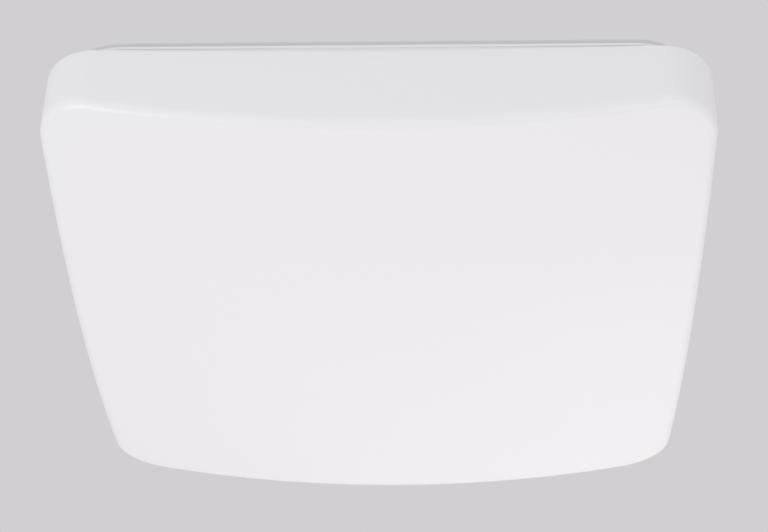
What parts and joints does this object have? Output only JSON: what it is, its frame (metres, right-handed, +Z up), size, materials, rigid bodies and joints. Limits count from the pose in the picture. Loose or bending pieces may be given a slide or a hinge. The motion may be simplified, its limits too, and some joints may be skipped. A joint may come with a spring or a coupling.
{
  "type": "flush mount ceiling light",
  "caption": "Square flush ceiling light: shallow steel pan, domed opal shade held by spring clips, light boards with lenses, driver and lever terminal block inside.",
  "frame": {"origin": "centre of the pan's back, on the ceiling plane", "axes": "+Z up into the ceiling, so the light hangs below the origin; -Y is the side nearest to the viewer; X runs along the light boards"},
  "size_m": [0.35, 0.35, 0.0812],
  "materials": {
    "pan_paint": "white powder coat, satin",
    "opal": "milky white acrylic, satin",
    "foam": "closed-cell foam, light grey",
    "black_rubber": "soft, matt",
    "spring_steel": "bright spring steel",
    "zinc": "zinc-plated steel",
    "rivet_metal": "plain aluminium",
    "board_white": "white solder mask on aluminium",
    "phosphor": "yellow phosphor in silicone",
    "lens_clear": "clear acrylic",
    "white_nylon": "natural nylon",
    "driver_plastic": "white flame-retardant plastic, satin",
    "circuit_green": "green solder mask",
    "dark_part": "black moulded body",
    "winding_tape": "yellow polyester tape",
    "block_grey": "light grey polyamide",
    "lever_blue": "blue-grey moulded lever",
    "contact_brass": "tin-dulled brass",
    "lead_brown": "brown insulation",
    "lead_blue": "blue insulation",
    "lead_green": "green insulation with a yellow stripe",
    "lead_white": "white sleeve over two cores"
  },
  "bodies": {
    "base": {"base_pan": "pan_paint", "board_screws": "zinc", "board_sockets": "white_nylon", "cable_clamp": "zinc", "cable_grommet": "black_rubber", "clamp_screws": "zinc", "clip_rivets": "rivet_metal", "driver_board": "circuit_green", "driver_capacitors": "dark_part", "driver_case": "driver_plastic", "driver_chips": "dark_part", "driver_choke": "dark_part", "driver_lid": "driver_plastic", "driver_screws": "zinc", "driver_sockets": "white_nylon", "driver_transformer": "winding_tape", "earth_lead": "lead_green", "earth_ring": "contact_brass", "earth_screw": "contact_brass", "earth_washer": "zinc", "lead_clips": "white_nylon", "led_board_1": "board_white", "led_board_2": "board_white", "led_board_3": "board_white", "led_board_4": "board_white", "led_lead_far": "lead_white", "led_lead_near": "lead_white", "leds_1": "phosphor", "leds_2": "phosphor", "leds_3": "phosphor", "leds_4": "phosphor", "lenses_1": "lens_clear", "lenses_2": "lens_clear", "lenses_3": "lens_clear", "lenses_4": "lens_clear", "link_lead_far": "lead_white", "link_lead_near": "lead_white", "live_lead": "lead_brown", "neutral_lead": "lead_blue", "rim_gasket": "foam", "spring_clip_far": "spring_steel", "spring_clip_left": "spring_steel", "spring_clip_near": "spring_steel", "spring_clip_right": "spring_steel", "terminal_busbars": "contact_brass", "terminal_housing": "block_grey", "terminal_screws": "zinc", "terminal_springs": "spring_steel"},
    "shade": {"diffuser": "opal"},
    "lever_live": {"terminal_lever_live": "lever_blue"},
    "lever_neutral": {"terminal_lever_neutral": "lever_blue"},
    "lever_earth": {"terminal_lever_earth": "lever_blue"}
  },
  "joints": [
    {"name": "shade_drop", "type": "slide", "parent": "base", "child": "shade", "axis": [0, 0, -1], "range_m": [0, 0.12], "deforming": ["spring_clip_near", "spring_clip_far", "spring_clip_left", "spring_clip_right"]},
    {"name": "lever_live_turn", "type": "hinge", "parent": "base", "child": "lever_live", "pos_m": [0.047, -0.0116, -0.0171], "axis": [-1, 0, 0], "range_deg": [0, 90]},
    {"name": "lever_neutral_turn", "type": "hinge", "parent": "base", "child": "lever_neutral", "pos_m": [0.055, -0.0116, -0.0171], "axis": [-1, 0, 0], "range_deg": [0, 90]},
    {"name": "lever_earth_turn", "type": "hinge", "parent": "base", "child": "lever_earth", "pos_m": [0.063, -0.0116, -0.0171], "axis": [-1, 0, 0], "range_deg": [0, 90]}
  ]
}
